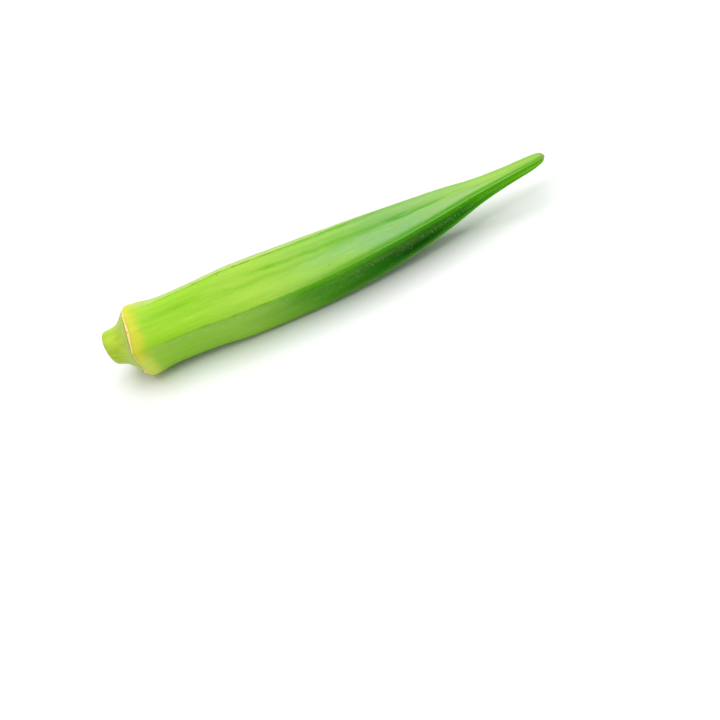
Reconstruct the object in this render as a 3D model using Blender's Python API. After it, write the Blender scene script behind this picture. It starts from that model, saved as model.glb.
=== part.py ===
"""Okra pod, freshly picked, lying on its side.

One natural piece: a five-ridged tapering fruit with its calyx ring and a short
cut length of stalk. Blender units are metres; the shape tables are in
millimetres. +X runs from the cut stalk to the tip, +Z is up, and the pod rests
on z = 0 with the middle of its bounding box over the origin.
"""

import math

import bmesh
import bpy
from mathutils import Matrix, Quaternion, Vector

MM = 0.001

# ---------------------------------------------------------------- dimensions
LOBES = 5                    # ridges round the pod, one for each seed chamber
PER_LOBE = 8                 # mesh columns in one lobe, closer together at the ridge
STALK_CUT = -7.2             # where the knife went through the stalk
POD_LENGTH = 115.0           # calyx ring to tip
RING_AT = 0.3                # the calyx ring, on the edge of the shoulder
RING_RISE = 0.18             # how far the fibrous ring stands proud
RING_WIDTH = 0.5
CUT_SLANT = 0.11             # the cut leans this much off square
CUT_RIM = 0.75               # skin and fibre round the pith of the stalk
CUT_DISH = 0.25              # the pith has dried back this far

# Distance along the pod, and the distance from the axis to a ridge there.
OUTLINE = (
    (STALK_CUT, 4.0), (-6.9, 4.45), (-6.2, 4.75), (-5.0, 4.95), (-3.8, 5.4),
    (-2.8, 6.1), (-1.8, 7.15), (-0.8, 8.45), (0.0, 9.35), (1.3, 10.0),
    (3.5, 9.9), (9.0, 9.35), (18.0, 9.6), (30.0, 10.35), (44.0, 10.05),
    (58.0, 9.35), (72.0, 7.85), (86.0, 5.65), (98.0, 3.2), (106.0, 2.3),
    (111.0, 1.9), (113.6, 1.5), (114.6, 1.05), (POD_LENGTH, 0.5),
)
# How round the ridges are, as the half angle (degrees) that the rounding takes.
RIDGE_ROUND = ((0.0, 20.0), (6.0, 14.0), (20.0, 9.0), (60.0, 8.0), (100.0, 9.0), (POD_LENGTH, 18.0))
# How far the faces between ridges are hollowed, as a share of the radius.
HOLLOW = ((4.0, 0.0), (16.0, 0.02), (30.0, 0.03), (85.0, 0.03), (105.0, 0.015), (POD_LENGTH, 0.0))
# 0 where the section is round, as on the stalk, and 1 where it is five-sided.
FIVE_SIDED = ((-8.0, 0.0), (-5.0, 0.05), (-3.0, 0.25), (-1.0, 0.8), (0.0, 1.0), (112.0, 1.0), (POD_LENGTH, 0.5))
# The axis bends up and to the back towards the tip, and leans at the stalk.
BEND = ((-7.9, 0.75), (-5.0, 0.45), (-2.8, 0.15), (0.0, -0.1), (20.0, 0.3), (45.0, 0.1), (70.0, 0.85), (95.0, 2.85), (POD_LENGTH, 4.7))
BEND_TOWARDS = 55.0          # degrees up from level, on the back
# The ridges wind slowly round the axis (degrees).
TWIST = ((0.0, 6.0), (40.0, 7.0), (80.0, 2.0), (POD_LENGTH, -1.0))

# (from, to, rings): where the mesh needs its rings close together.
SPANS = (
    (STALK_CUT, -6.2, 4), (-6.2, -2.8, 4), (-2.8, -0.3, 4), (-0.3, 1.3, 5),
    (1.3, 4.0, 3), (4.0, 18.0, 6), (18.0, 98.0, 21), (98.0, 112.0, 6), (112.0, POD_LENGTH, 7),
)


# ---------------------------------------------------------------- shape rules
def smooth_through(rows):
    """A function that runs smoothly through the rows and never overshoots them."""
    xs, ys = zip(*rows)
    steps = [b - a for a, b in zip(xs, xs[1:])]
    slopes = [(b - a) / h for a, b, h in zip(ys, ys[1:], steps)]
    tangents = [slopes[0]]
    for i in range(1, len(xs) - 1):
        before, after = slopes[i - 1], slopes[i]
        if before * after <= 0.0:
            tangents.append(0.0)
            continue
        w1 = 2.0 * steps[i] + steps[i - 1]
        w2 = steps[i] + 2.0 * steps[i - 1]
        tangents.append((w1 + w2) / (w1 / before + w2 / after))
    tangents.append(slopes[-1])

    def value(x):
        x = min(max(x, xs[0]), xs[-1])
        i = 0
        while i < len(steps) - 1 and x > xs[i + 1]:
            i += 1
        h = steps[i]
        t = (x - xs[i]) / h
        return (
            (1 + 2 * t) * (1 - t) ** 2 * ys[i]
            + t * (1 - t) ** 2 * h * tangents[i]
            + t * t * (3 - 2 * t) * ys[i + 1]
            + t * t * (t - 1) * h * tangents[i + 1]
        )

    return value


ridge_radius = smooth_through(OUTLINE)
ridge_round = smooth_through(RIDGE_ROUND)
hollow = smooth_through(HOLLOW)
five_sided = smooth_through(FIVE_SIDED)
bend = smooth_through(BEND)
twist = smooth_through(TWIST)
HALF_LOBE = math.pi / LOBES


def section_radius(angle, s):
    """Distance from the axis to the skin, at an angle from a ridge: a pentagon with rounded corners."""
    off = abs((angle + HALF_LOBE) % (2 * HALF_LOBE) - HALF_LOBE)
    soft = math.radians(ridge_round(s))
    side = math.cos(HALF_LOBE - soft) / math.cos(HALF_LOBE - math.hypot(off, soft))
    side -= hollow(s) * math.sin(0.5 * math.pi * off / HALF_LOBE) ** 2
    share = five_sided(s)
    ring = RING_RISE * math.exp(-(((s - RING_AT) / RING_WIDTH) ** 2))
    return ridge_radius(s) * (share * side + 1.0 - share) + ring


def skin(s, angle):
    """The point of the skin at distance s along the pod, at an angle from the top ridge."""
    radius = section_radius(angle, s)
    turn = angle + math.radians(twist(s))
    aside = bend(s)
    y = -radius * math.sin(turn) + aside * math.cos(math.radians(BEND_TOWARDS))
    z = radius * math.cos(turn) + aside * math.sin(math.radians(BEND_TOWARDS))
    lean = CUT_SLANT * min(max((-3.5 - s) / 4.0, 0.0), 1.0)
    return Vector((s - lean * z, y, z)) * MM


def stations():
    """Where each ring of the mesh stands, from the cut to the tip."""
    found = [STALK_CUT]
    for start, end, count in SPANS:
        found += [start + (end - start) * (k + 1) / count for k in range(count)]
    return found


def columns():
    """The angle of each column of the mesh, from the top ridge, closer together at every ridge."""
    half = PER_LOBE // 2
    found = []
    for lobe in range(LOBES):
        for k in range(-half, half):
            part = k / half
            found.append(2 * HALF_LOBE * lobe + HALF_LOBE * math.copysign(abs(part) ** 1.5, part))
    return found


# ---------------------------------------------------------------- rest
def centre_of_mass(bm):
    """Of an even solid, from the tetrahedra that its triangles make with the origin."""
    total, moment = 0.0, Vector()
    for corners in bm.calc_loop_triangles():
        a, b, c = (loop.vert.co for loop in corners)
        volume = a.dot(b.cross(c)) / 6.0
        total += volume
        moment += (a + b + c) * (volume / 4.0)
    return moment / total


def resting_turn(bm):
    """The turn that lays the pod down: the hull's most downward face under the centre of mass goes flat."""
    middle = centre_of_mass(bm)
    hull = bmesh.new()
    for vertex in bm.verts:
        hull.verts.new(vertex.co - middle)
    bmesh.ops.convex_hull(hull, input=hull.verts)
    bmesh.ops.triangulate(hull, faces=hull.faces)
    best, best_turn = -2.0, Quaternion()
    for face in hull.faces:
        a, b, c = (vertex.co for vertex in face.verts)
        normal = (b - a).cross(c - a)
        if normal.length < 1e-12:
            continue
        normal.normalize()
        if normal.dot(a) < 0.0:
            normal.negate()
        foot = normal * normal.dot(a)
        sides = [(q - p).cross(foot - p).dot(normal) for p, q in ((a, b), (b, c), (c, a))]
        under = all(side >= 0.0 for side in sides) or all(side <= 0.0 for side in sides)
        if under and -normal.z > best:
            best, best_turn = -normal.z, normal.rotation_difference(Vector((0.0, 0.0, -1.0)))
    hull.free()
    return best_turn


# ---------------------------------------------------------------- building
def clear_scene():
    for old in list(bpy.data.objects):
        bpy.data.objects.remove(old, do_unlink=True)


def green_skin():
    material = bpy.data.materials.new("okra_skin")
    material.use_nodes = True
    shader = material.node_tree.nodes["Principled BSDF"]
    shader.inputs["Base Color"].default_value = (0.26, 0.55, 0.05, 1.0)
    shader.inputs["Roughness"].default_value = 0.5
    shader.inputs["Metallic"].default_value = 0.0
    material.diffuse_color = (0.26, 0.55, 0.05, 1.0)
    return material


def pod_mesh():
    """A capped cylinder with a loop cut at every station, whose rings take the pod's sections."""
    rings, angles = stations(), columns()
    bm = bmesh.new()
    bmesh.ops.create_cone(
        bm, cap_ends=True, cap_tris=False, segments=len(angles), radius1=1.0, radius2=1.0, depth=1.0
    )
    lengthwise = [e for e in bm.edges if abs(e.verts[0].co.z - e.verts[1].co.z) > 0.5]
    bmesh.ops.subdivide_edges(bm, edges=lengthwise, cuts=len(rings) - 2, use_grid_fill=True)

    for vertex in bm.verts:
        ring = round((vertex.co.z + 0.5) * (len(rings) - 1))
        column = round(math.atan2(vertex.co.y, vertex.co.x) / (2 * math.pi) * len(angles)) % len(angles)
        vertex.co = skin(rings[ring], angles[column])

    # The two end caps: the sliced stalk, with the pith dished, and the rounded tip.
    ends = sorted((f for f in bm.faces if len(f.verts) > 4), key=lambda f: f.calc_center_median().x)
    cut, tip = ends
    bmesh.ops.recalc_face_normals(bm, faces=bm.faces)
    bmesh.ops.inset_individual(bm, faces=[cut], thickness=CUT_RIM * MM, depth=0.0, use_even_offset=True)
    bmesh.ops.inset_individual(bm, faces=[cut], thickness=0.3 * MM, depth=-CUT_DISH * MM, use_even_offset=True)
    bmesh.ops.poke(bm, faces=[cut], offset=0.0)
    bmesh.ops.poke(bm, faces=[tip], offset=0.12 * MM)
    bmesh.ops.recalc_face_normals(bm, faces=bm.faces)
    return bm


def build():
    clear_scene()
    parts = bpy.data.collections.new("okra_pod")
    bpy.context.scene.collection.children.link(parts)

    bm = pod_mesh()
    bm.transform(resting_turn(bm).to_matrix().to_4x4())
    low = Vector([min(v.co[i] for v in bm.verts) for i in range(3)])
    high = Vector([max(v.co[i] for v in bm.verts) for i in range(3)])
    # Mesh about its own middle, and the object set down on the table.
    centre = (low + high) / 2.0
    bm.transform(Matrix.Translation(-centre))
    for face in bm.faces:
        face.smooth = True

    mesh = bpy.data.meshes.new("okra_pod")
    bm.to_mesh(mesh)
    bm.free()
    mesh.materials.append(green_skin())
    pod = bpy.data.objects.new("okra_pod", mesh)
    pod.location = (0.0, 0.0, (high.z - low.z) / 2.0)
    parts.objects.link(pod)


build()
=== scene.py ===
"""Looks of the okra pod: a dense skin with its relief, the fibrous calyx ring, the sliced stalk, the hairs, and the studio.

Shape tables are in millimetres and are the same as the construction's, so the skin lies where the solid lies.
"""

import math
import random

import bmesh
import bpy
import numpy as np
from mathutils import Matrix, Quaternion, Vector, noise


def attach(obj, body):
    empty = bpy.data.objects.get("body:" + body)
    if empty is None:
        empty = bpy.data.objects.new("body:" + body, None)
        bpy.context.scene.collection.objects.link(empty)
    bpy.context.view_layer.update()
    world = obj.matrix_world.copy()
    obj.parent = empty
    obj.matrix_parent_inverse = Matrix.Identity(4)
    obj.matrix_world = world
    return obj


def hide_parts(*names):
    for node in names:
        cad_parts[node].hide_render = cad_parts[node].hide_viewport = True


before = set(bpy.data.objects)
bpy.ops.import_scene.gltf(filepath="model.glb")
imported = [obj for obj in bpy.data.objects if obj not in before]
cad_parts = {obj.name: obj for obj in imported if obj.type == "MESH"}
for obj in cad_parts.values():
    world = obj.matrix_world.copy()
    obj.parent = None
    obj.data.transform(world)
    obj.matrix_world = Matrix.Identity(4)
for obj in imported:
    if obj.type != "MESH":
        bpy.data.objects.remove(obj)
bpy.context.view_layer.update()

MM = 0.001

# ------------------------------------------------------------------ the pod's shape, as in the construction
LOBES = 5
PER_LOBE = 8
STALK_CUT = -7.2
POD_LENGTH = 115.0
RING_AT = 0.3
RING_RISE = 0.18
RING_WIDTH = 0.5
CUT_SLANT = 0.11
CUT_RIM = 0.75
CUT_DISH = 0.25
OUTLINE = (
    (STALK_CUT, 4.0), (-6.9, 4.45), (-6.2, 4.75), (-5.0, 4.95), (-3.8, 5.4),
    (-2.8, 6.1), (-1.8, 7.15), (-0.8, 8.45), (0.0, 9.35), (1.3, 10.0),
    (3.5, 9.9), (9.0, 9.35), (18.0, 9.6), (30.0, 10.35), (44.0, 10.05),
    (58.0, 9.35), (72.0, 7.85), (86.0, 5.65), (98.0, 3.2), (106.0, 2.3),
    (111.0, 1.9), (113.6, 1.5), (114.6, 1.05), (POD_LENGTH, 0.5),
)
RIDGE_ROUND = ((0.0, 20.0), (6.0, 14.0), (20.0, 9.0), (60.0, 8.0), (100.0, 9.0), (POD_LENGTH, 18.0))
HOLLOW = ((4.0, 0.0), (16.0, 0.02), (30.0, 0.03), (85.0, 0.03), (105.0, 0.015), (POD_LENGTH, 0.0))
FIVE_SIDED = ((-8.0, 0.0), (-5.0, 0.05), (-3.0, 0.25), (-1.0, 0.8), (0.0, 1.0), (112.0, 1.0), (POD_LENGTH, 0.5))
BEND = ((-7.9, 0.75), (-5.0, 0.45), (-2.8, 0.15), (0.0, -0.1), (20.0, 0.3), (45.0, 0.1), (70.0, 0.85), (95.0, 2.85), (POD_LENGTH, 4.7))
BEND_TOWARDS = 55.0
TWIST = ((0.0, 6.0), (40.0, 7.0), (80.0, 2.0), (POD_LENGTH, -1.0))
SPANS = (
    (STALK_CUT, -6.2, 4), (-6.2, -2.8, 4), (-2.8, -0.3, 4), (-0.3, 1.3, 5),
    (1.3, 4.0, 3), (4.0, 18.0, 6), (18.0, 98.0, 21), (98.0, 112.0, 6), (112.0, POD_LENGTH, 7),
)
HALF_LOBE = math.pi / LOBES


def smooth_through(rows):
    """A function, of a number or an array, that runs smoothly through the rows and never overshoots them."""
    xs, ys = (np.array(column, float) for column in zip(*rows))
    steps = np.diff(xs)
    slopes = np.diff(ys) / steps
    tangents = np.zeros(len(xs))
    tangents[0], tangents[-1] = slopes[0], slopes[-1]
    for i in range(1, len(xs) - 1):
        before, after = slopes[i - 1], slopes[i]
        if before * after > 0.0:
            w1 = 2.0 * steps[i] + steps[i - 1]
            w2 = steps[i] + 2.0 * steps[i - 1]
            tangents[i] = (w1 + w2) / (w1 / before + w2 / after)

    def value(x):
        x = np.clip(x, xs[0], xs[-1])
        i = np.clip(np.searchsorted(xs, x, side="left") - 1, 0, len(steps) - 1)
        h = steps[i]
        t = (x - xs[i]) / h
        return (
            (1 + 2 * t) * (1 - t) ** 2 * ys[i]
            + t * (1 - t) ** 2 * h * tangents[i]
            + t * t * (3 - 2 * t) * ys[i + 1]
            + t * t * (t - 1) * h * tangents[i + 1]
        )

    return value


ridge_radius = smooth_through(OUTLINE)
ridge_round = smooth_through(RIDGE_ROUND)
hollow = smooth_through(HOLLOW)
five_sided = smooth_through(FIVE_SIDED)
bend = smooth_through(BEND)
twist = smooth_through(TWIST)


def section_radius(angle, s, ring=True):
    off = np.abs((angle + HALF_LOBE) % (2 * HALF_LOBE) - HALF_LOBE)
    soft = np.radians(ridge_round(s))
    side = np.cos(HALF_LOBE - soft) / np.cos(HALF_LOBE - np.hypot(off, soft))
    side = side - hollow(s) * np.sin(0.5 * math.pi * off / HALF_LOBE) ** 2
    share = five_sided(s)
    radius = ridge_radius(s) * (share * side + 1.0 - share)
    if ring:
        radius = radius + RING_RISE * np.exp(-(((s - RING_AT) / RING_WIDTH) ** 2))
    return radius


def placed(s, angle, radius):
    """Points at that distance along the pod, angle from the top ridge and distance from its axis, in metres."""
    turn = angle + np.radians(twist(s))
    aside = bend(s)
    y = -radius * np.sin(turn) + aside * math.cos(math.radians(BEND_TOWARDS))
    z = radius * np.cos(turn) + aside * math.sin(math.radians(BEND_TOWARDS))
    lean = CUT_SLANT * np.clip((-3.5 - s) / 4.0, 0.0, 1.0)
    return np.stack([s - lean * z, y, z], axis=-1) * MM


# ------------------------------------------------------------------ how the pod lies, worked out as the construction does
def construction_stations():
    found = [STALK_CUT]
    for start, end, count in SPANS:
        found += [start + (end - start) * (k + 1) / count for k in range(count)]
    return found


def construction_columns():
    half = PER_LOBE // 2
    return [
        2 * HALF_LOBE * lobe + HALF_LOBE * math.copysign(abs(k / half) ** 1.5, k)
        for lobe in range(LOBES)
        for k in range(-half, half)
    ]


def construction_mesh():
    rings, angles = construction_stations(), construction_columns()
    grid = np.array([placed(s, np.array(angles), section_radius(np.array(angles), s)) for s in rings])
    bm = bmesh.new()
    bmesh.ops.create_cone(bm, cap_ends=True, cap_tris=False, segments=len(angles), radius1=1.0, radius2=1.0, depth=1.0)
    lengthwise = [e for e in bm.edges if abs(e.verts[0].co.z - e.verts[1].co.z) > 0.5]
    bmesh.ops.subdivide_edges(bm, edges=lengthwise, cuts=len(rings) - 2, use_grid_fill=True)
    for vertex in bm.verts:
        ring = round((vertex.co.z + 0.5) * (len(rings) - 1))
        column = round(math.atan2(vertex.co.y, vertex.co.x) / (2 * math.pi) * len(angles)) % len(angles)
        vertex.co = Vector(grid[ring, column])
    cut, tip = sorted((f for f in bm.faces if len(f.verts) > 4), key=lambda f: f.calc_center_median().x)
    bmesh.ops.recalc_face_normals(bm, faces=bm.faces)
    bmesh.ops.inset_individual(bm, faces=[cut], thickness=CUT_RIM * MM, depth=0.0, use_even_offset=True)
    bmesh.ops.inset_individual(bm, faces=[cut], thickness=0.3 * MM, depth=-CUT_DISH * MM, use_even_offset=True)
    bmesh.ops.poke(bm, faces=[cut], offset=0.0)
    bmesh.ops.poke(bm, faces=[tip], offset=0.12 * MM)
    bmesh.ops.recalc_face_normals(bm, faces=bm.faces)
    return bm


def centre_of_mass(bm):
    total, moment = 0.0, Vector()
    for corners in bm.calc_loop_triangles():
        a, b, c = (loop.vert.co for loop in corners)
        volume = a.dot(b.cross(c)) / 6.0
        total += volume
        moment += (a + b + c) * (volume / 4.0)
    return moment / total


def resting_turn(bm):
    """The turn that lays the pod down: the hull's most downward face under the centre of mass goes flat."""
    middle = centre_of_mass(bm)
    hull = bmesh.new()
    for vertex in bm.verts:
        hull.verts.new(vertex.co - middle)
    bmesh.ops.convex_hull(hull, input=hull.verts)
    bmesh.ops.triangulate(hull, faces=hull.faces)
    best, best_turn = -2.0, Quaternion()
    for face in hull.faces:
        a, b, c = (vertex.co for vertex in face.verts)
        normal = (b - a).cross(c - a)
        if normal.length < 1e-12:
            continue
        normal.normalize()
        if normal.dot(a) < 0.0:
            normal.negate()
        foot = normal * normal.dot(a)
        sides = [(q - p).cross(foot - p).dot(normal) for p, q in ((a, b), (b, c), (c, a))]
        under = all(side >= 0.0 for side in sides) or all(side <= 0.0 for side in sides)
        if under and -normal.z > best:
            best, best_turn = -normal.z, normal.rotation_difference(Vector((0.0, 0.0, -1.0)))
    hull.free()
    return best_turn


coarse = construction_mesh()
LIE = resting_turn(coarse).to_matrix()
coarse.transform(LIE.to_4x4())
solid_low = Vector([min(v.co[i] for v in coarse.verts) for i in range(3)])
solid_high = Vector([max(v.co[i] for v in coarse.verts) for i in range(3)])
coarse.free()
SET_DOWN = Vector((-(solid_low.x + solid_high.x) / 2, -(solid_low.y + solid_high.y) / 2, -solid_low.z))
LIE_ROWS = np.array(LIE)


def lying(points):
    """Points of the pod's own axes, moved to where the pod lies."""
    return points @ LIE_ROWS.T + np.array(SET_DOWN)


# ------------------------------------------------------------------ small helpers
def smoothstep(low, high, x):
    t = np.clip((x - low) / (high - low), 0.0, 1.0)
    return t * t * (3.0 - 2.0 * t)


def bump(x, width):
    return np.exp(-((x / width) ** 2))


def rumple(points, scale, seed):
    """Smooth noise from -1 to 1 at each point."""
    shift = Vector((seed * 17.3, seed * 5.1, -seed * 9.7))
    flat = points.reshape(-1, 3) * scale
    made = np.fromiter((noise.noise(Vector(p) + shift) for p in flat), float, len(flat))
    return made.reshape(points.shape[:-1])


# Where the calyx ring runs, at angles (degrees) from the top ridge: it dips at each ridge and sags between them.
RING_LINE = (
    (0, 0.80), (14, 0.85), (32, 0.92), (50, 0.62), (62, 0.22), (74, -0.02), (88, 0.18), (102, 0.40), (116, 0.05),
    (130, -0.45), (146, -0.55), (170, 0.15), (190, 0.55), (214, 0.20), (236, 0.60), (262, 0.75), (288, 0.15),
    (310, 0.55), (336, 0.70), (360, 0.80),
)
ring_runs = smooth_through(RING_LINE)


def ring_line(angle):
    """Where the calyx ring runs, and half its width, at each angle."""
    loop = np.stack([np.cos(angle), np.sin(angle), np.zeros_like(angle)], axis=-1)
    wander = rumple(loop, 3.2, 3) + 0.6 * rumple(loop, 8.0, 4)
    thick = rumple(loop, 2.6, 5) + 0.7 * rumple(loop, 10.0, 6)
    turned = np.degrees(angle) % 360.0
    wide = bump((turned - 34 + 180) % 360 - 180, 26.0) + 0.9 * bump(turned - 134, 14.0) + 0.6 * bump(turned - 245, 25.0)
    return ring_runs(turned) + 0.06 * wander, np.clip(0.20 + 0.20 * wide + 0.06 * thick, 0.11, 0.55)


# ------------------------------------------------------------------ where the skin is streaked, bloomed and painted with sheen, clear, and painted with shade
# Streaks of one face, sunk as creases with their shade painted darker: from (along, degrees from its first ridge) to
# (along, degrees), half width in degrees, strength.
STREAKS = (
    (5.0, 27.0, 19.0, 25.0, 5.0, 0.50), (8.0, 44.0, 28.0, 49.0, 4.0, 0.45), (3.0, 12.0, 16.0, 14.0, 3.0, 0.22),
    (18.0, 60.0, 38.0, 62.0, 3.0, 0.30), (22.0, 18.0, 40.0, 20.0, 3.0, 0.28), (24.0, 33.0, 49.0, 36.0, 3.2, 0.40),
    (38.0, 20.5, 62.0, 23.5, 3.3, 1.00), (46.0, 12.0, 60.0, 13.0, 2.6, 0.35), (56.0, 26.5, 80.0, 29.0, 5.0, 0.55),
    (64.0, 29.5, 88.0, 29.0, 4.4, 0.85), (74.0, 22.0, 96.0, 20.0, 3.5, 0.25), (48.0, 34.0, 62.0, 37.0, 3.0, 0.35),
    (88.0, 33.0, 102.0, 36.0, 6.0, 0.12),
)
FACE_SHIFT = (0.0, 6.0, -7.0, 4.0, -4.0)
FACE_STRENGTH = (1.0, 0.35, 0.7, 0.8, 0.9)


def face_and_place(angle):
    """Which face, counted from the top ridge, and the degrees from its first ridge."""
    turned = np.degrees(angle) % 360.0
    face = np.minimum((turned / 72.0).astype(int), 4)
    return turned, face, turned - 72.0 * face


def window(x, start, end, soft):
    return smoothstep(start - soft, start + soft, x) * (1.0 - smoothstep(end - soft, end + soft, x))


def streak_mask(s, angle, flat):
    turned, face, place = face_and_place(angle)
    place = np.where(face % 2 == 1, 72.0 - place, place)
    shift = np.array(FACE_SHIFT)[face]
    strength = np.array(FACE_STRENGTH)[face]
    loose = 1.0 + 1.2 * smoothstep(52.0, 72.0, s)
    sway = loose * (1.6 * rumple(flat * [0.9, 0.2, 0.2], 0.13, 31) + 1.2 * rumple(flat, 0.34, 32))
    total = np.zeros_like(s)
    for s0, a0, s1, a1, width, power in STREAKS:
        centre = a0 + (a1 - a0) * (s - shift - s0) / (s1 - s0) + sway
        total += power * window(s - shift, s0, s1, 4.5) * bump(place - centre, width)
    ragged = 0.78 + 0.50 * rumple(flat * [0.16, 1, 1], 0.75, 33) + 0.45 * rumple(flat * [0.8, 1, 1], 0.30, 40)
    return np.clip(total * strength * ragged, 0.0, 1.0)


def bloom_and_sheen_mask(s, angle, flat):
    """A pale bloom of tiny hairs, partly painted sheen, on the middle of each face past the pod's thickest part."""
    turned, face, place = face_and_place(angle)
    shift = np.array(FACE_SHIFT)[face]
    t = s - shift
    centre = 40.0 + 8.0 * smoothstep(46.0, 74.0, t)
    lower_half = bump(np.clip(np.abs(place - centre) - (4.0 + 7.0 * smoothstep(50, 72, t)), 0, None), 6.0) * window(t, 52.0, 99.0, 8.0)
    upper_half = 0.62 * bump(np.clip(np.abs(place - 11.0) - 4.0, 0, None), 5.0) * window(t, 62.0, 96.0, 8.0)
    patch = 0.78 + 0.5 * rumple(flat * [0.4, 1, 1], 0.24, 34) + 0.25 * rumple(flat * [0.3, 1, 1], 0.8, 35)
    face_share = np.array((1.0, 0.12, 0.45, 0.6, 0.9))[face]
    return np.clip(np.maximum(lower_half, upper_half) * patch * face_share, 0.0, 1.0)


def clear_mask(s, angle, flat):
    """Both sides of a ridge are hairless and a clear green, most of all towards the tip."""
    turned, face, place = face_and_place(angle)
    degree = ridge_radius(s) * math.pi / 180.0
    near = np.minimum(place, 72.0 - place) * degree
    sway = 0.16 * rumple(flat * [0.5, 0.5, 0.5], 0.5, 36)
    under = (face == 1) & (place < 36.0)
    both = bump(np.clip(near + sway - np.where(under, 0.75, 0.28), 0, None), np.where(under, 0.75, 0.55))
    both = both * np.where(under, smoothstep(30.0, 48.0, s), smoothstep(38.0, 62.0, s))
    both = both * np.where((face == 0) & (place < 36.0), 1.0 - 0.8 * smoothstep(56.0, 74.0, s), 1.0)
    reach = 1.5 + 19.0 * smoothstep(68.0, 108.0, s)
    wide = (1.0 - smoothstep(reach * 0.6, reach * 1.2, 72.0 - place)) * smoothstep(66.0, 84.0, s)
    side = np.array((1.0, 0.4, 0.6, 0.6, 0.5))[face]
    return np.clip(np.maximum(both * 0.9, wide * side), 0.0, 1.0)


# How much painted shade each angle round the pod gets, from the top ridge.
PAINTED_SHADE_ROUND = (
    (0, 0.0), (71, 0.0), (74, 0.7), (80, 1.0), (124, 1.0), (136, 0.80), (150, 0.60), (200, 0.5), (216, 0.42),
    (250, 0.32), (300, 0.12), (345, 0.0), (360, 0.0),
)
painted_shade_round = smooth_through(PAINTED_SHADE_ROUND)


def painted_shade_mask(s, angle, flat):
    """Painted shade: the lower side is painted a deeper green past the pod's thickest part: 0 none, 1 most."""
    turned = np.degrees(angle) % 360.0
    sway = 5.0 * rumple(flat * [0.3, 1, 1], 0.3, 37) + 2.0 * rumple(flat * [0.2, 1, 1], 1.0, 38)
    along = 0.22 + 0.78 * smoothstep(25.0, 54.0, s + sway)
    return painted_shade_round(turned) * along


def fuzz_mask(s, angle, flat):
    """Pale bands where the fine hairs lie close, along the flanks of the ridges; behind the top ridge the pale band is
    partly painted sheen.
    """
    turned, face, place = face_and_place(angle)
    degree = ridge_radius(s) * math.pi / 180.0
    after, before = place * degree, (72.0 - place) * degree
    sway = 0.25 * rumple(flat * [0.7, 0.4, 0.4], 0.5, 39)
    comb = np.clip(0.85 + 0.7 * rumple(flat * [1, 0.2, 0.2], 1.1, 41), 0.0, 1.0)
    beside = bump(np.clip(after + sway - 1.1, 0, None), 1.5) * window(s, 3.0, 42.0, 8.0) * comb
    below = 0.26 * bump(after + sway - 2.7, 1.5) * window(s, 50.0, 86.0, 7.0)
    ends = s + 7.0 * rumple(flat * [0.12, 1, 1], 0.8, 42)
    behind = bump(np.clip(before + sway - 6.2, 0, None), 2.2) * window(ends, -1.0, 62.0, 9.0)
    behind = behind * np.clip(0.95 + 0.5 * rumple(flat * [0.12, 1, 1], 0.9, 43), 0.0, 1.0)
    share_after = np.array((0.0, 0.9, 0.7, 0.5, 0.5))[face]
    share_before = np.array((0.0, 0.2, 0.3, 0.4, 1.0))[face]
    return np.clip(np.maximum(np.maximum(beside, below) * share_after, behind * share_before), 0.0, 1.0)


def relief(s, angle, flat):
    """How far the skin stands out from the plain shape, in millimetres, and the measures that colour it."""
    off = (angle + HALF_LOBE) % (2 * HALF_LOBE) - HALF_LOBE
    radius = ridge_radius(s)
    body = smoothstep(3.0, 14.0, s) * (1.0 - smoothstep(108.0, 114.5, s))
    slow = rumple(flat * [0.35, 1, 1], 0.16, 1)
    fine = rumple(flat * [0.10, 1, 1], 0.75, 2)
    wander = rumple(flat * [1.0, 0.25, 0.25], 0.07, 8)

    # A fine seam runs along each ridge, with a faint groove on both sides.
    to_ridge = np.abs(off) * radius
    seam = to_ridge + 0.12 * rumple(flat * [1, 0.4, 0.4], 0.35, 9)
    seam_height = smoothstep(16.0, 44.0, s) * (1.0 - smoothstep(111.0, 114.5, s))
    out = 0.13 * seam_height * bump(seam, 0.2)
    out = out - 0.07 * body * bump(to_ridge - 0.75, 0.42)

    # Each face sinks a little along its streaks.
    streaks = streak_mask(s, angle, flat)
    out = out - 0.15 * body * streaks * np.clip(radius / 6.0, 0.3, 1.0)
    to_middle = (HALF_LOBE - np.abs(off)) * radius + 1.1 * wander * np.clip(radius / 9.0, 0.2, 1.0)
    out = out - 0.05 * body * bump(to_middle, 0.35 + 0.085 * radius)

    # Veins, slow unevenness and fine streaks along the pod.
    out = out + body * (0.09 * slow + 0.030 * fine) * np.clip(radius / 7.0, 0.25, 1.0)
    out = out + 0.03 * body * rumple(flat * [0.05, 1, 1], 1.7, 11)

    # The shoulder puckers a little towards the ring.
    shoulder = smoothstep(0.9, 1.8, s) * (1.0 - smoothstep(4.0, 8.0, s))
    out = out + 0.07 * shoulder * rumple(flat * [0.25, 1, 1], 0.55, 12)
    out = out - 0.16 * bump(s - 5.6, 1.9) * np.clip(1.0 - np.abs(off) / HALF_LOBE, 0, 1) ** 0.5

    # The ring: a flat fibrous band in a shallow step, its stalk side split from the cap by a groove.
    ring_at, ring_half = ring_line(angle)
    ring_off = (s - ring_at) / ring_half
    fibre = rumple(flat * [3.0, 1.0, 1.0], 1.6, 13)
    out = out + (0.13 + 0.05 * fibre) * (1.0 - smoothstep(0.75, 1.15, np.abs(ring_off)))
    out = out - 0.20 * bump(s - (ring_at - ring_half - 0.16), 0.15)
    out = out - 0.10 * bump(s - (ring_at + ring_half + 0.17), 0.16)

    # The cap and stalk have low ribs that run into the ring, and shallow dents.
    cap = smoothstep(-7.0, -5.8, s) * (1.0 - smoothstep(-1.2, -0.2, s))
    out = out + cap * (0.09 * rumple(flat * [0.2, 1, 1], 0.33, 14) + 0.035 * rumple(flat * [0.3, 1, 1], 1.1, 15))
    return out, to_ridge, streaks, ring_off


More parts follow.
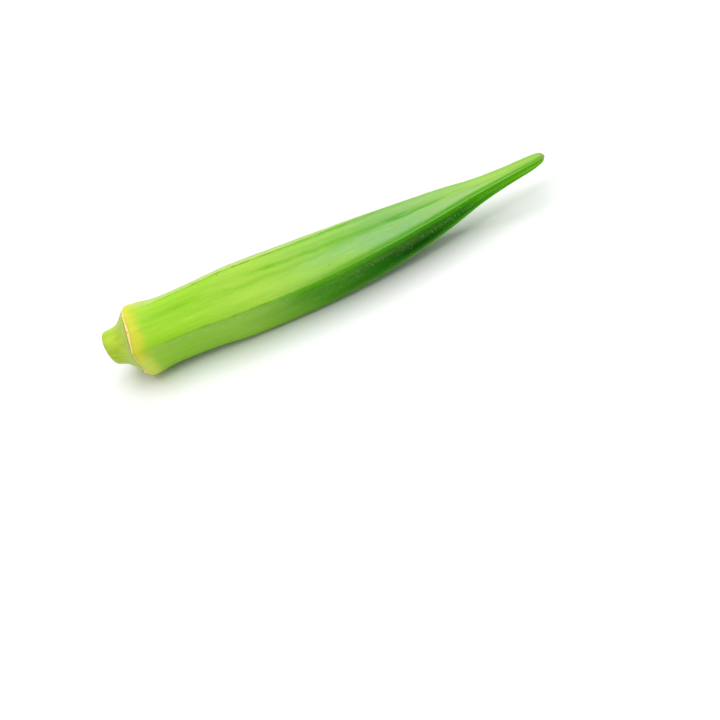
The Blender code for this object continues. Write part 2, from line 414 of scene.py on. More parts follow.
# ------------------------------------------------------------------ meshes
def made_object(name, vertices, faces, smooth=True):
    mesh = bpy.data.meshes.new(name)
    mesh.from_pydata([tuple(v) for v in vertices], [], faces)
    mesh.update()
    mesh.polygons.foreach_set("use_smooth", [smooth] * len(mesh.polygons))
    made = bpy.data.objects.new(name, mesh)
    bpy.context.scene.collection.objects.link(made)
    return made


def point_numbers(mesh, name, values):
    layer = mesh.attributes.new(name, "FLOAT", "POINT")
    layer.data.foreach_set("value", np.asarray(values, np.float32).ravel())


def point_vectors(mesh, name, values):
    layer = mesh.attributes.new(name, "FLOAT_VECTOR", "POINT")
    layer.data.foreach_set("vector", np.asarray(values, np.float32).ravel())


DENSE = (
    (STALK_CUT, -6.8, 0.08), (-6.8, -1.0, 0.22), (-1.0, 1.7, 0.075), (1.7, 6.0, 0.22),
    (6.0, 109.0, 0.45), (109.0, POD_LENGTH, 0.16),
)
LOBE_COLUMNS = 44


def dense_stations():
    found = [STALK_CUT]
    for start, end, step in DENSE:
        count = round((end - start) / step)
        found += [start + (end - start) * (k + 1) / count for k in range(count)]
    return np.array(found)


def dense_columns():
    half = LOBE_COLUMNS // 2
    parts = np.arange(-half, half) / half
    bunched = HALF_LOBE * np.sign(parts) * np.abs(parts) ** 1.35
    return np.concatenate([2 * HALF_LOBE * lobe + bunched for lobe in range(LOBES)])


def pod_skin():
    stations, columns = dense_stations(), dense_columns()
    rows, cols = len(stations), len(columns)
    s, angle = np.meshgrid(stations, columns, indexing="ij")
    flat = np.stack([s, 10.0 * np.sin(angle), 10.0 * np.cos(angle)], axis=-1)
    out, to_ridge, streaks, ring_off = relief(s, angle, flat)
    points = placed(s, angle, section_radius(angle, s, ring=False) + out)
    cut = np.full(s.shape, 1.5)

    # The sliced end: a narrow skin edge, a firm green rim, then the dished white pith.
    shares = (0.975, 0.94, 0.89, 0.84, 0.79, 0.74, 0.70, 0.66, 0.62, 0.56, 0.48, 0.38, 0.27, 0.15, 0.06)
    rim_radius = section_radius(columns, STALK_CUT, ring=False) + out[0]
    end_points, end_cut, end_flat = [], [], []
    for share in shares:
        across = np.stack([np.full(cols, 20.0), rim_radius * share * np.sin(columns), rim_radius * share * np.cos(columns)], axis=-1)
        dish = CUT_DISH * smoothstep(0.78, 0.62, share) if share > 0.62 else CUT_DISH
        rough = 0.05 * rumple(across, 1.1, 21) + 0.022 * rumple(across, 4.5, 22)
        lip = 0.06 * bump(share - 0.95, 0.03) - 0.05 * bump(share - 0.86, 0.035)
        rise = rough * smoothstep(1.0, 0.85, share) + lip - dish
        at = placed(np.full(cols, STALK_CUT), columns, rim_radius * share)
        at[:, 0] -= rise * MM
        end_points.append(at)
        end_cut.append(np.full(cols, share))
        end_flat.append(across)
    centre = np.mean(end_points[-1], axis=0)
    # The tip closes over the last ring in a small dome.
    dome_points = []
    last_centre = placed(np.array(POD_LENGTH), np.array(0.0), np.array(0.0))
    for lift, share in ((0.10, 0.86), (0.18, 0.62), (0.23, 0.32)):
        at = points[-1] * share + last_centre * (1 - share)
        at[:, 0] += lift * MM
        dome_points.append(at)
    pole = last_centre + np.array([0.25 * MM, 0.0, 0.0])

    body_count = rows * cols
    every = [points.reshape(-1, 3)] + end_points + [centre[None]] + dome_points + [pole[None]]
    vertices = lying(np.concatenate(every))
    n_end, n_dome = len(end_points), len(dome_points)
    end_start = body_count
    centre_at = end_start + n_end * cols
    dome_start = centre_at + 1
    pole_at = dome_start + n_dome * cols

    def tie(first, second):
        """Quads from one loop of vertices to the next."""
        return [(first + c, first + (c + 1) % cols, second + (c + 1) % cols, second + c) for c in range(cols)]

    faces = []
    for row in range(rows - 1):
        faces += tie((row + 1) * cols, row * cols)
    faces += tie(0, end_start)
    for k in range(n_end - 1):
        faces += tie(end_start + k * cols, end_start + (k + 1) * cols)
    last = end_start + (n_end - 1) * cols
    faces += [(last + c, last + (c + 1) % cols, centre_at) for c in range(cols)]
    faces += tie(dome_start, (rows - 1) * cols)
    for k in range(n_dome - 1):
        faces += tie(dome_start + (k + 1) * cols, dome_start + k * cols)
    last = dome_start + (n_dome - 1) * cols
    faces += [(last + (c + 1) % cols, last + c, pole_at) for c in range(cols)]

    made = made_object("pod_skin", vertices, faces)
    mesh = made.data
    tail = [np.full(cols * n_end + 1, 0.0), np.full(cols * n_dome + 1, 0.0)]

    def whole(values, at_end, at_tip):
        return np.concatenate([np.ravel(values), tail[0] + at_end, tail[1] + at_tip])

    point_numbers(mesh, "along", whole(s, STALK_CUT, POD_LENGTH + 0.2))
    point_numbers(mesh, "to_ridge", whole(to_ridge, 3.0, 0.0))
    turned = np.degrees(angle) % 360.0
    point_numbers(mesh, "turned", whole(turned, 30.0, 30.0))
    point_numbers(mesh, "streaks", whole(streaks, 0.0, 0.0))
    point_numbers(mesh, "bloom_and_sheen", whole(bloom_and_sheen_mask(s, angle, flat), 0.0, 0.0))
    point_numbers(mesh, "clear", whole(clear_mask(s, angle, flat), 0.0, 0.5))
    point_numbers(mesh, "painted_shade", whole(painted_shade_mask(s, angle, flat), 0.0, 0.3))
    point_numbers(mesh, "fuzz", whole(fuzz_mask(s, angle, flat), 0.0, 0.0))
    point_numbers(mesh, "ring_off", whole(ring_off, -30.0, 300.0))
    cut_all = np.concatenate([np.ravel(cut), np.concatenate(end_cut), [0.0], tail[1] + 1.5])
    cut_all[:cols] = 1.0
    point_numbers(mesh, "cut", cut_all)
    tip_flat = np.repeat([[POD_LENGTH, 0.0, 0.0]], cols * n_dome + 1, axis=0)
    flat_all = np.concatenate([flat.reshape(-1, 3), np.concatenate(end_flat), [[20.0, 0.0, 0.0]], tip_flat])
    point_vectors(mesh, "flat", flat_all)

    # A map that unrolls the skin, with the sliced end beside it.
    share_along = np.where(s < 4.0, 0.17 * (s - STALK_CUT) / (4.0 - STALK_CUT), 0.17 + 0.83 * (s - 4.0) / (POD_LENGTH - 4.0))
    corner_u, corner_v = [], []
    loops = np.zeros(len(mesh.loops), np.int64)
    mesh.loops.foreach_get("vertex_index", loops)
    starts = np.zeros(len(mesh.polygons), np.int64)
    mesh.polygons.foreach_get("loop_start", starts)
    counts = np.zeros(len(mesh.polygons), np.int64)
    mesh.polygons.foreach_get("loop_total", counts)
    u_of = np.concatenate([share_along.ravel(), np.zeros(len(vertices) - body_count)])
    angle_share = (columns - columns[0]) / (2 * math.pi)
    column_of = np.concatenate([np.tile(np.arange(cols), rows + n_end), [0], np.tile(np.arange(cols), n_dome), [0]])
    uv = np.zeros((len(loops), 2))
    face_of = np.repeat(np.arange(len(starts)), counts)
    wraps = np.zeros(len(starts), bool)
    high = column_of[loops] == cols - 1
    low = column_of[loops] == 0
    has_high = np.bincount(face_of, weights=high, minlength=len(starts)) > 0
    has_low = np.bincount(face_of, weights=low, minlength=len(starts)) > 0
    wraps = has_high & has_low
    v = angle_share[column_of[loops]]
    v = np.where(wraps[face_of] & low, 1.0, v)
    uv[:, 0] = u_of[loops]
    uv[:, 1] = v * 0.86
    on_end = (loops >= end_start) & (loops <= centre_at)
    face_on_end = np.bincount(face_of, weights=on_end, minlength=len(starts)) > 0
    share_of = cut_all[loops]
    turn = columns[column_of[loops]]
    disc = face_on_end[face_of]
    uv[disc, 0] = 0.07 + 0.06 * share_of[disc] * np.cos(turn[disc])
    uv[disc, 1] = 0.935 + 0.06 * share_of[disc] * np.sin(turn[disc])
    on_tip = loops >= dome_start
    tip_face = (np.bincount(face_of, weights=on_tip, minlength=len(starts)) > 0)[face_of]
    tip_share = np.where(loops < dome_start, 1.0, np.where(loops == pole_at, 0.0, 1.0 - (loops - dome_start) // cols * 0.3 - 0.2))
    uv[tip_face, 0] = 0.2 + 0.03 * tip_share[tip_face] * np.cos(turn[tip_face])
    uv[tip_face, 1] = 0.935 + 0.03 * tip_share[tip_face] * np.sin(turn[tip_face])
    layer = mesh.uv_layers.new(name="OFBake")
    layer.data.foreach_set("uv", uv.astype(np.float32).ravel())
    return made


def hair_roots(count, seed, pick):
    """Random places on the skin, kept with the chance that pick gives them."""
    draw = np.random.default_rng(seed)
    s = draw.uniform(-5.5, POD_LENGTH - 0.5, count)
    angle = draw.uniform(0.0, 2 * math.pi, count)
    keep = draw.uniform(0.0, 1.0, count) < pick(s, angle)
    return s[keep], angle[keep], draw


def skin_frame(s, angle):
    """Points of the skin, with the normal and the two directions along it."""
    def at(s, angle):
        return lying(placed(s, angle, section_radius(angle, s, ring=False)))

    here = at(s, angle)
    along = at(s + 0.05, angle) - at(s - 0.05, angle)
    around = at(s, angle + 0.004) - at(s, angle - 0.004)
    along /= np.linalg.norm(along, axis=1)[:, None]
    around /= np.linalg.norm(around, axis=1)[:, None]
    normal = np.cross(around, along)
    normal /= np.linalg.norm(normal, axis=1)[:, None]
    middle = lying(placed(s, angle, np.zeros_like(s)))
    flip = np.sign(np.sum(normal * (here - middle), axis=1))
    return here, normal * flip[:, None], along, around


def hair_piece(name, s, angle, draw, length, thick, lift, lean_out, lean_tip, curl, sides=3):
    """Fine tapering hairs, each closed, standing on the skin."""
    here, normal, along, around = skin_frame(s, angle)
    n = len(s)
    off = (angle + HALF_LOBE) % (2 * HALF_LOBE) - HALF_LOBE
    away = np.sign(off)[:, None] * around
    wobble = draw.normal(0.0, 1.0, (n, 3)) * 0.22
    lengths = length * (0.55 + 0.8 * draw.uniform(0, 1, n)) * MM
    first = normal * lift + away * (lean_out * (0.5 + draw.uniform(0, 1, n)))[:, None] + along * (lean_tip * (0.4 + draw.uniform(0, 1, n)))[:, None] + wobble
    first /= np.linalg.norm(first, axis=1)[:, None]
    second = first + away * curl + along * curl * 0.6 + draw.normal(0.0, 1.0, (n, 3)) * 0.10
    second /= np.linalg.norm(second, axis=1)[:, None]
    root = here - normal * 0.04 * MM
    knee = root + first * (lengths * 0.5)[:, None]
    end = knee + second * (lengths * 0.5)[:, None]
    keep = np.minimum(end[:, 2], knee[:, 2]) > 0.00003
    root, knee, end, first, along_k = root[keep], knee[keep], end[keep], first[keep], along[keep]
    n = len(root)
    tone = draw.uniform(0, 1, n)
    radius = thick * (0.75 + 0.5 * draw.uniform(0, 1, n)) * MM
    a = np.cross(first, along_k)
    a /= np.linalg.norm(a, axis=1)[:, None]
    b = np.cross(first, a)
    rings = []
    for centre, share in ((root, 1.0), (knee, 0.75)):
        for k in range(sides):
            turn = 2 * math.pi * k / sides
            rings.append(centre + (a * math.cos(turn) + b * math.sin(turn)) * (radius * share)[:, None])
    block = np.stack(rings + [end], axis=1)
    per = 2 * sides + 1
    vertices = block.reshape(-1, 3)
    pattern = [tuple(range(sides))[::-1]]
    pattern += [(k, (k + 1) % sides, sides + (k + 1) % sides, sides + k) for k in range(sides)]
    pattern += [(sides + k, sides + (k + 1) % sides, 2 * sides) for k in range(sides)]
    faces = [tuple(per * h + i for i in face) for h in range(n) for face in pattern]
    made = made_object(name, vertices, faces)
    mesh = made.data
    point_numbers(mesh, "tone", np.repeat(tone, per))
    heights = np.tile(np.array([0.0] * sides + [0.5] * sides + [1.0]), n)
    point_numbers(mesh, "height", heights)
    loops = np.zeros(len(mesh.loops), np.int64)
    mesh.loops.foreach_get("vertex_index", loops)
    layer = mesh.uv_layers.new(name="OFBake")
    tones = np.repeat(tone, per)
    spread = np.tile(np.array([-0.5, 0.5, 0.0] * 2 + [0.0]) if sides == 3 else np.zeros(per), n) * 0.01
    layer.data.foreach_set("uv", np.stack([0.02 + 0.96 * tones[loops] + spread[loops], 0.02 + 0.96 * heights[loops]], axis=1).astype(np.float32).ravel())
    return made


# ------------------------------------------------------------------ materials
def light(*rgb):
    """A display colour, 0 to 255, as light."""
    return tuple((c / 255 / 12.92) if c <= 10 else ((c / 255 + 0.055) / 1.055) ** 2.4 for c in rgb) + (1.0,)


class Graph:
    """Short names for the nodes of one material."""

    def __init__(self, name):
        self.material = bpy.data.materials.new(name)
        self.material.use_nodes = True
        self.tree = self.material.node_tree
        self.shader = self.tree.nodes["Principled BSDF"]

    def node(self, kind, **settings):
        made = self.tree.nodes.new(kind)
        for key, value in settings.items():
            setattr(made, key, value)
        return made

    def feed(self, socket, value):
        if isinstance(value, bpy.types.NodeSocket):
            self.tree.links.new(value, socket)
        else:
            socket.default_value = value

    def number(self, name):
        return self.node("ShaderNodeAttribute", attribute_name=name).outputs["Fac"]

    def vector(self, name):
        return self.node("ShaderNodeAttribute", attribute_name=name).outputs["Vector"]

    def math(self, kind, a, b=0.0, clamp=False):
        made = self.node("ShaderNodeMath", operation=kind, use_clamp=clamp)
        self.feed(made.inputs[0], a)
        self.feed(made.inputs[1], b)
        return made.outputs[0]

    def times(self, *values):
        result = values[0]
        for value in values[1:]:
            result = self.math("MULTIPLY", result, value)
        return result

    def plus(self, *values):
        result = values[0]
        for value in values[1:]:
            result = self.math("ADD", result, value)
        return result

    def span(self, value, low, high, start=0.0, end=1.0, smooth=True):
        """start below low, end above high, and smooth between them."""
        made = self.node("ShaderNodeMapRange", interpolation_type="SMOOTHSTEP" if smooth else "LINEAR", clamp=True)
        for socket, v in zip(made.inputs[:5], (value, low, high, start, end)):
            self.feed(socket, v)
        return made.outputs[0]

    def stretch(self, vector, scale, shift=(0.0, 0.0, 0.0)):
        made = self.node("ShaderNodeMapping")
        self.feed(made.inputs["Vector"], vector)
        made.inputs["Scale"].default_value = scale
        made.inputs["Location"].default_value = shift
        return made.outputs[0]

    def noise(self, vector, scale, detail=3.0, rough=0.55, bend=0.0):
        made = self.node("ShaderNodeTexNoise")
        self.feed(made.inputs["Vector"], vector)
        made.inputs["Scale"].default_value = scale
        made.inputs["Detail"].default_value = detail
        made.inputs["Roughness"].default_value = rough
        made.inputs["Distortion"].default_value = bend
        return made.outputs["Fac"]

    def cells(self, vector, scale, spread=1.0):
        made = self.node("ShaderNodeTexVoronoi")
        self.feed(made.inputs["Vector"], vector)
        made.inputs["Scale"].default_value = scale
        made.inputs["Randomness"].default_value = spread
        return made

    def mix(self, share, a, b, kind="MIX"):
        made = self.node("ShaderNodeMix", data_type="RGBA", blend_type=kind)
        self.feed(made.inputs[0], share)
        self.feed(made.inputs[6], a)
        self.feed(made.inputs[7], b)
        return made.outputs[2]

    def ramp(self, value, stops):
        made = self.node("ShaderNodeValToRGB")
        band = made.color_ramp
        band.interpolation = "EASE"
        while len(band.elements) < len(stops):
            band.elements.new(0.5)
        for element, (at, colour) in zip(band.elements, stops):
            element.position = at
            element.color = colour
        self.feed(made.inputs[0], value)
        return made.outputs["Color"]


# Colours of the skin, as display values; the lists run from the ring to the tip.
GREENS = ((0.00, (162, 208, 49)), (0.10, (153, 207, 40)), (0.28, (163, 207, 64)), (0.48, (149, 200, 82)), (0.66, (137, 189, 92)), (0.86, (166, 210, 94)), (1.00, (158, 204, 80)))
DEEPER = ((0.00, (128, 194, 26)), (0.30, (114, 188, 20)), (0.46, (90, 178, 12)), (0.62, (84, 166, 52)), (0.82, (80, 164, 46)), (1.00, (90, 160, 34)))
CLEARER = ((0.00, (128, 184, 20)), (0.40, (94, 172, 10)), (0.70, (64, 158, 10)), (0.88, (80, 168, 8)), (1.00, (92, 174, 12)))
# The next list is painted shade: a deeper green for the lower faces.
PAINTED_SHADE_GREENS = ((0.00, (116, 176, 66)), (0.20, (105, 168, 60)), (0.35, (78, 152, 38)), (0.43, (50, 132, 16)), (0.55, (26, 104, 12)), (0.69, (6, 76, 4)), (0.80, (26, 112, 6)), (0.89, (80, 170, 12)), (0.96, (122, 204, 34)), (1.00, (146, 214, 46)))
# The next list is the pale bloom of hairs, partly painted sheen.
BLOOM_AND_SHEEN = ((0.00, (166, 206, 116)), (0.45, (147, 194, 124)), (0.62, (141, 189, 130)), (0.80, (151, 190, 132)), (1.00, (168, 206, 116)))
PALER = (184, 222, 88)
FUZZ, CREAM_AND_SHEEN = (154, 200, 88), (206, 206, 138)
SEAM = (146, 192, 92)
YELLOW, YELLOW_GREEN, YELLOW_PALE = (208, 208, 56), (190, 206, 40), (218, 212, 84)
OLIVE, OLIVE_PALE = (170, 194, 38), (204, 223, 94)
# The last cap colour is a painted shadow beside the ring.
CAP, CAP_LIGHT, CAP_VEIN, CAP_SHADOW_GREY = (166, 196, 58), (182, 208, 60), (152, 188, 54), (168, 192, 96)
TAN, TAN_DEEP = (246, 232, 160), (234, 208, 126)


def skin_material():
    g = Graph("okra_skin_looks")
    along, flat, turned = g.number("along"), g.vector("flat"), g.number("turned")
    to_ridge, ring_off, cut = g.number("to_ridge"), g.number("ring_off"), g.number("cut")
    streaks, bloom_and_sheen, clear, painted_shade, fuzz = (g.number(name) for name in ("streaks", "bloom_and_sheen", "clear", "painted_shade", "fuzz"))

    streak = g.noise(g.stretch(flat, (0.13, 1.0, 1.0)), 0.42, 4.0, 0.6)
    broad = g.noise(g.stretch(flat, (0.25, 1.0, 1.0), (7.0, 3.0, 1.0)), 0.13, 3.0, 0.55)
    thread = g.noise(g.stretch(flat, (0.12, 1.0, 1.0), (3.0, 9.0, 4.0)), 1.9, 3.0, 0.6)
    grain = g.noise(g.stretch(flat, (0.8, 1.0, 1.0)), 3.2, 2.0, 0.6)
    across = g.noise(g.stretch(flat, (1.0, 0.16, 0.16), (1.0, 5.0, 2.0)), 2.6, 2.0, 0.6)

    # Green: light and yellow by the stalk, cooler in the middle, light again towards the tip.
    wavy = g.plus(along, g.times(g.plus(broad, -0.5), 24.0))
    place = g.span(wavy, 0.0, POD_LENGTH, smooth=False)
    green = g.ramp(place, tuple((at, light(*c)) for at, c in GREENS))
    deeper = g.ramp(place, tuple((at, light(*c)) for at, c in DEEPER))
    clearer = g.ramp(place, tuple((at, light(*c)) for at, c in CLEARER))
    painted_shade_colour = g.ramp(place, tuple((at, light(*c)) for at, c in PAINTED_SHADE_GREENS))
    bloom_and_sheen_colour = g.ramp(place, tuple((at, light(*c)) for at, c in BLOOM_AND_SHEEN))
    green = g.mix(g.span(streak, 0.46, 0.74, 0.0, 0.36), green, deeper)
    green = g.mix(g.times(g.span(streak, 0.30, 0.46, 0.35, 0.0), g.span(along, 6.0, 30.0, 1.0, 0.4)), green, light(*PALER))
    # Painted shade: the streaks are sunk creases, and the shade in them is also painted as a deeper green.
    green = g.mix(g.times(streaks, g.span(thread, 0.3, 0.7, 0.95, 0.7)), green, deeper)
    # Pale bloom of tiny hairs, partly painted sheen.
    bloom_and_sheen_grain = g.plus(g.times(across, 0.65), g.times(grain, 0.35))
    bloom_and_sheen_share = g.times(bloom_and_sheen, g.span(bloom_and_sheen_grain, 0.36, 0.62, 0.35, 1.0))
    green = g.mix(g.times(bloom_and_sheen_share, 0.85), green, bloom_and_sheen_colour)
    # Painted shade: the lower faces past the thickest part are painted a deeper green.
    green = g.mix(g.times(painted_shade, g.span(streak, 0.3, 0.7, 1.0, 0.93)), green, painted_shade_colour)
    green = g.mix(g.times(clear, g.span(grain, 0.3, 0.7, 1.0, 0.88)), green, clearer)
    # Pale fuzz of hairs; the cream behind the top ridge is partly painted sheen.
    fuzzy = g.mix(g.span(turned, 325.0, 340.0), light(*FUZZ), light(*CREAM_AND_SHEEN))
    green = g.mix(g.times(fuzz, g.span(across, 0.34, 0.62, 0.40, 1.0), 0.72), green, fuzzy)

    # The fine seam along each ridge: dark where the pod is thickest, pale towards the tip.
    seam_breaks = g.noise(g.stretch(flat, (0.22, 0.2, 0.2), (5.0, 5.0, 5.0)), 1.3, 3.0, 0.65)
    ragged_ridge = g.plus(to_ridge, g.times(g.plus(grain, -0.5), 0.30))
    dark_seam = g.times(g.span(ragged_ridge, 0.14, 0.50, 1.0, 0.0), g.span(along, 4.0, 12.0), g.span(along, 38.0, 60.0, 1.0, 0.0))
    green = g.mix(g.times(dark_seam, g.span(seam_breaks, 0.3, 0.6, 0.35, 0.85)), green, deeper)
    seam = g.times(
        g.span(to_ridge, 0.07, 0.25, 1.0, 0.0),
        g.span(along, 40.0, 78.0, 0.0, 1.0),
        g.span(seam_breaks, 0.28, 0.50, 0.45, 1.0),
    )
    green = g.mix(g.times(seam, 0.66), green, light(*SEAM))
    scuff = g.times(
        g.span(g.plus(to_ridge, g.times(g.plus(grain, -0.5), 0.5)), 0.12, 0.34, 1.0, 0.0),
        g.span(along, 12.0, 22.0),
        g.span(along, 62.0, 84.0, 1.0, 0.1),
        g.span(seam_breaks, 0.46, 0.62),
        g.plus(0.45, g.times(g.span(turned, 340.0, 350.0), 0.55), g.span(turned, 4.0, 8.0, 0.55, 0.0)),
    )
    green = g.mix(g.times(scuff, 0.55), green, light(122, 122, 46))

    # Fine threads, grain, and tiny pale spots.
    green = g.mix(g.times(g.span(thread, 0.50, 0.78, 0.0, 0.20), g.span(painted_shade, 0.2, 0.8, 1.0, 0.06)), green, light(200, 228, 112))
    green = g.mix(g.span(grain, 0.28, 0.48, 0.22, 0.0), green, deeper)
    pale_dots = g.cells(flat, 1.05)
    green = g.mix(
        g.times(
            g.span(pale_dots.outputs["Distance"], 0.05, 0.15, 1.0, 0.0),
            g.span(g.noise(flat, 0.5, 2.0), 0.42, 0.62, 0.0, 0.35),
            g.span(painted_shade, 0.2, 0.8, 1.0, 0.10),
        ),
        green,
        light(205, 232, 140),
    )
    # A few brown specks, most of them by the ridges.
    specks = g.cells(g.stretch(flat, (0.8, 1.0, 1.0), (2.0, 8.0, 6.0)), 0.36)
    speck = g.times(
        g.span(g.plus(specks.outputs["Distance"], g.times(grain, 0.06)), 0.070, 0.115, 1.0, 0.0),
        g.span(g.noise(flat, 0.21, 2.0), 0.46, 0.56),
        g.span(to_ridge, 0.8, 4.0, 1.0, 0.5),
    )
    green = g.mix(g.times(speck, 0.55), green, light(112, 104, 38))

    # The yellow shoulder beside the ring.
    reach = g.plus(along, g.times(g.plus(g.noise(g.stretch(flat, (0.3, 1.0, 1.0), (4.0, 4.0, 9.0)), 0.42, 3.0), -0.5), 3.0))
    shoulder = g.span(reach, 2.2, 5.6, 1.0, 0.0)
    yellow = g.mix(g.span(streak, 0.36, 0.66), light(*YELLOW), light(*YELLOW_GREEN))
    yellow = g.mix(g.span(grain, 0.34, 0.62, 0.0, 0.30), yellow, light(*YELLOW_PALE))
    yellow = g.mix(g.times(g.span(to_ridge, 0.4, 2.4, 1.0, 0.0), g.span(along, 1.6, 3.6), 0.55), yellow, light(*OLIVE))
    yellow = g.mix(g.times(g.span(turned, 74.0, 92.0), g.span(turned, 250.0, 300.0, 1.0, 0.2), 0.75), yellow, light(*OLIVE_PALE))
    green = g.mix(shoulder, green, yellow)

    # The cap and the stalk, before the ring.
    cap_noise = g.noise(g.stretch(flat, (0.5, 1.0, 1.0), (1.0, 2.0, 8.0)), 0.42, 4.0, 0.6)
    cap = g.mix(g.span(cap_noise, 0.36, 0.64), light(*CAP), light(*CAP_LIGHT))
    cap = g.mix(g.span(thread, 0.44, 0.72, 0.0, 0.35), cap, light(*CAP_VEIN))
    # Painted shadow: the cap turns grey-green in a band beside the ring.
    cap = g.mix(g.times(g.span(along, -2.2, -0.9), 0.5), cap, light(*CAP_SHADOW_GREY))
    cap_specks = g.cells(g.stretch(flat, (1.0, 1.0, 1.0), (9.0, 2.0, 3.0)), 0.75)
    cap = g.mix(
        g.times(g.span(cap_specks.outputs["Distance"], 0.05, 0.14, 1.0, 0.0), 0.45), cap, light(112, 134, 30)
    )
    edge = g.times(g.span(along, -7.1, -6.75, 1.0, 0.0), g.span(g.noise(flat, 0.35, 3.0), 0.46, 0.62))
    cap = g.mix(g.times(edge, 0.75), cap, light(138, 112, 48))
    colour = g.mix(g.span(ring_off, -0.35, 0.35), cap, green)

    # The ring: tan fibre, browner along its edges, with breaks.
    ragged = g.times(g.plus(g.noise(g.stretch(flat, (2.0, 1.0, 1.0)), 1.5, 3.0, 0.65), -0.5), 1.1)
    from_ring = g.plus(g.math("ABSOLUTE", ring_off), ragged)
    fibre = g.noise(g.stretch(flat, (4.0, 0.45, 0.45)), 1.8, 3.0, 0.6)
    tan = g.mix(g.span(fibre, 0.36, 0.64), light(*TAN), light(*TAN_DEEP))
    tan = g.mix(g.span(g.noise(flat, 0.8, 4.0, 0.7), 0.57, 0.67, 0.0, 0.80), tan, light(170, 124, 70))
    colour = g.mix(
        g.times(g.span(from_ring, 1.15, 1.95, 1.0, 0.0), g.span(ring_off, -0.6, 0.6, 0.95, 0.18)), colour, light(140, 106, 46)
    )
    colour = g.mix(g.span(from_ring, 0.85, 1.1, 1.0, 0.0), colour, tan)

    # The slice: skin edge, green rim, paler ring of strands, white pith.
    radial = g.noise(flat, 1.3, 3.0, 0.6)
    wavering = g.plus(cut, g.times(g.plus(radial, -0.5), 0.10))
    slice_colour = g.ramp(
        wavering,
        (
            (0.00, light(236, 240, 222)),
            (0.50, light(228, 236, 206)),
            (0.62, light(202, 224, 150)),
            (0.72, light(150, 204, 84)),
            (0.86, light(132, 196, 62)),
            (0.94, light(176, 208, 96)),
            (1.00, light(150, 160, 70)),
        ),
    )
    pores = g.cells(flat, 3.4)
    slice_colour = g.mix(g.span(pores.outputs["Distance"], 0.10, 0.42, 0.30, 0.0), slice_colour, light(178, 194, 140))
    strands = g.cells(flat, 1.25)
    strand = g.times(
        g.span(strands.outputs["Distance"], 0.16, 0.30, 1.0, 0.0), g.span(cut, 0.60, 0.66), g.span(cut, 0.80, 0.86, 1.0, 0.0)
    )
    slice_colour = g.mix(g.times(strand, 0.6), slice_colour, light(214, 226, 166))
    on_slice = g.span(cut, 1.0, 1.02, 1.0, 0.0)
    colour = g.mix(on_slice, colour, slice_colour)

    # The tip keeps the dried, orange-brown scar of the flower.
    tip_off = g.plus(along, g.times(g.plus(grain, -0.5), 0.5))
    colour = g.mix(g.span(tip_off, 114.1, 114.7, 0.0, 0.7), colour, light(150, 174, 96))
    colour = g.mix(g.times(g.span(tip_off, 114.8, 115.1), 0.85), colour, light(226, 168, 106))
    g.feed(g.shader.inputs["Base Color"], colour)

    # Roughness: satin skin, a little wetter along the veins, dry ring, moist pith.
    rough = g.plus(0.40, g.times(g.plus(streak, -0.5), 0.22), g.times(g.plus(grain, -0.5), 0.20), g.times(bloom_and_sheen, 0.16), g.times(fuzz, 0.15))
    on_ring = g.span(from_ring, 0.85, 1.15, 1.0, 0.0)
    rough = g.plus(rough, g.times(on_ring, 0.34), g.times(on_slice, -0.04))
    g.feed(g.shader.inputs["Roughness"], g.math("MINIMUM", g.math("MAXIMUM", rough, 0.24), 0.9))

    # Fine relief that the mesh is too coarse for.
    veins = g.noise(g.stretch(flat, (0.07, 1.0, 1.0), (2.0, 2.0, 5.0)), 2.6, 3.0, 0.6)
    pits = g.noise(flat, 5.2, 2.0, 0.6)
    height = g.plus(g.times(veins, 0.055), g.times(pits, 0.020), g.times(across, 0.018), g.times(speck, 0.02), g.times(fibre, on_ring, 0.10))
    made = g.node("ShaderNodeBump")
    made.inputs["Strength"].default_value = 0.85
    made.inputs["Distance"].default_value = 0.001
    g.feed(made.inputs["Height"], height)
    g.feed(g.shader.inputs["Normal"], made.outputs["Normal"])

    shader = g.shader
    g.feed(shader.inputs["Specular IOR Level"], g.span(g.times(painted_shade, g.span(along, 16.0, 44.0)), 0.0, 0.9, 0.12, 0.0))
    shader.inputs["Subsurface Weight"].default_value = 0.12
    shader.inputs["Subsurface Radius"].default_value = (0.6, 1.0, 0.25)
    shader.inputs["Subsurface Scale"].default_value = 0.0012
    shader.inputs["Sheen Weight"].default_value = 0.0
    shader.inputs["Sheen Roughness"].default_value = 0.45
    shader.inputs["Sheen Tint"].default_value = (0.92, 1.0, 0.86, 1.0)
    return g.material


def hair_material():
    g = Graph("okra_hair")
    tone, height = g.number("tone"), g.number("height")
    root = g.mix(tone, light(140, 184, 84), light(176, 206, 126))
    end = g.mix(tone, light(196, 214, 150), light(226, 234, 194))
    g.feed(g.shader.inputs["Base Color"], g.mix(g.span(height, 0.0, 0.7, smooth=False), root, end))
    g.feed(g.shader.inputs["Roughness"], g.span(tone, 0.0, 1.0, 0.35, 0.6, smooth=False))
    g.shader.inputs["Specular IOR Level"].default_value = 0.4
    g.shader.inputs["Subsurface Weight"].default_value = 0.3
    g.shader.inputs["Subsurface Radius"].default_value = (1.0, 1.0, 0.8)
    g.shader.inputs["Subsurface Scale"].default_value = 0.0003
    return g.material


# ------------------------------------------------------------------ the pod
skin = pod_skin()
skin.data.materials.append(skin_material())
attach(skin, "root")
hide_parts("okra_pod")

hairs = hair_material()


def by_ridge(s, angle):
    off = np.abs((angle + HALF_LOBE) % (2 * HALF_LOBE) - HALF_LOBE)
    near = bump(off * ridge_radius(s), 1.0)
    bare = 1.0 - 0.75 * smoothstep(48.0, 70.0, s)
    return near * bare * smoothstep(5.0, 14.0, s) * np.clip(ridge_radius(s) / 5.0, 0.45, 1.0)


